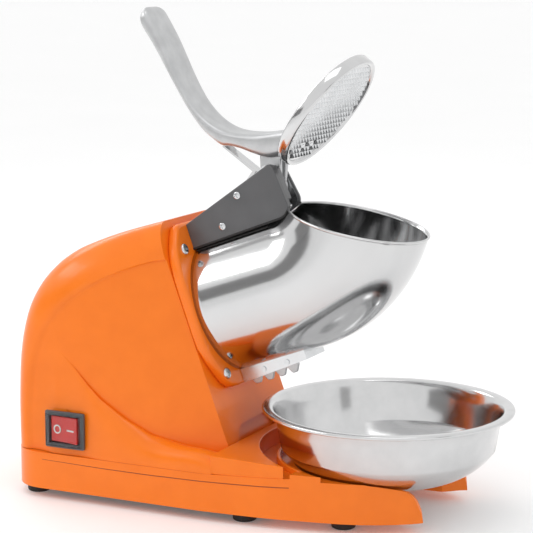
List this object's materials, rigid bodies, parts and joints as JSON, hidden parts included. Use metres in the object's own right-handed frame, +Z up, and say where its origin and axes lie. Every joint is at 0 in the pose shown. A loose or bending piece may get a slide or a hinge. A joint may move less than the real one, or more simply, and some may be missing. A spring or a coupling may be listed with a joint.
{
  "type": "shaved ice machine",
  "caption": "Free-standing electric ice shaver: motor housing on a two-legged base, tilted steel hopper with a cutter disc, hinged pusher lever, discharge chute and a loose wide-rimmed bowl.",
  "frame": {"origin": "centre of the overall footprint, on the surface that the rubber feet stand on", "axes": "+X from the motor housing towards the bowl, +Y across towards the side without the power switch, +Z up"},
  "size_m": [0.3961, 0.2, 0.3955],
  "materials": {
    "orange_plastic": "glossy",
    "dark_plastic": "matt",
    "black_plastic": "satin",
    "white_plastic": "satin",
    "red_plastic": "glossy",
    "clear_plastic": "clear, glossy",
    "grey_paint": "semi-matt",
    "rubber": "matt",
    "polished_steel": "mirror polished",
    "zinc_steel": "bright zinc",
    "sheet_aluminium": "satin",
    "cast_aluminium": "tumbled, matt",
    "lamination": "stacked sheet edges",
    "copper": "enamelled copper wire",
    "bronze": "sintered bronze"
  },
  "bodies": {
    "base": {"base_tray": "orange_plastic", "bottom_cover": "dark_plastic", "cover_screws": "zinc_steel", "rubber_feet": "rubber", "housing_shell": "orange_plastic", "housing_screws": "zinc_steel", "front_ring": "orange_plastic", "flange_screws": "zinc_steel", "hopper": "polished_steel", "chute": "sheet_aluminium", "chute_comb": "sheet_aluminium", "chute_screws": "zinc_steel", "hinge_bracket": "sheet_aluminium", "bracket_cover_near": "grey_paint", "bracket_cover_far": "grey_paint", "bracket_top": "grey_paint", "bracket_gasket": "rubber", "bracket_rivets": "zinc_steel", "hinge_pin": "zinc_steel", "torsion_spring": "zinc_steel", "stop_strip": "polished_steel", "safety_switch": "black_plastic", "switch_screws": "zinc_steel", "motor_mount_plate": "zinc_steel", "front_bell": "cast_aluminium", "rear_bell": "cast_aluminium", "stator_core": "lamination", "stator_windings": "copper", "tie_bolts": "zinc_steel", "mount_screws": "zinc_steel", "front_bearing": "zinc_steel", "rear_bearing": "zinc_steel", "shaft_seal": "rubber", "run_capacitor": "white_plastic", "capacitor_clip": "zinc_steel", "terminal_block": "white_plastic", "switch_body": "black_plastic", "switch_bezel": "black_plastic", "switch_cover": "clear_plastic", "cord_gland": "black_plastic", "gland_nut": "black_plastic"},
    "lever": {"lever_arm": "cast_aluminium", "hinge_bushes": "bronze", "pusher_plate": "sheet_aluminium", "pusher_screws": "zinc_steel"},
    "cutter": {"motor_shaft": "zinc_steel", "rotor": "lamination", "cooling_fan": "dark_plastic", "cutter_disc": "polished_steel", "cutter_blades": "polished_steel", "blade_screws": "zinc_steel", "disc_nut": "zinc_steel"},
    "power_rocker": {"rocker": "red_plastic"},
    "plunger": {"switch_plunger": "red_plastic"},
    "bowl": {"bowl": "polished_steel"}
  },
  "joints": [
    {"name": "lever_hinge", "type": "hinge", "parent": "base", "child": "lever", "pos_m": [-0.002, 0, 0.252], "axis": [0, 1, 0], "range_deg": [0, 123.5], "stiffness_Nm_per_rad": 0.16, "springref_deg": -34.38, "deforming": ["torsion_spring"]},
    {"name": "cutter_spin", "type": "hinge", "parent": "base", "child": "cutter", "pos_m": [-0.032, 0, 0.158], "axis": [0.9367, 0, 0.3502], "continuous": true},
    {"name": "rocker_tilt", "type": "hinge", "parent": "base", "child": "power_rocker", "pos_m": [-0.142, -0.092, 0.059], "axis": [0, 0, 1], "range_deg": [0, 16]},
    {"name": "plunger_travel", "type": "slide", "parent": "base", "child": "plunger", "axis": [-0.788, 0, -0.6157], "range_m": [0, 0.001], "stiffness_N_per_m": 300, "springref_m": -0.0005},
    {"name": "bowl_lift", "type": "slide", "parent": "base", "child": "bowl", "axis": [0.9272, 0, 0.3746], "range_m": [0, 0.2]}
  ]
}
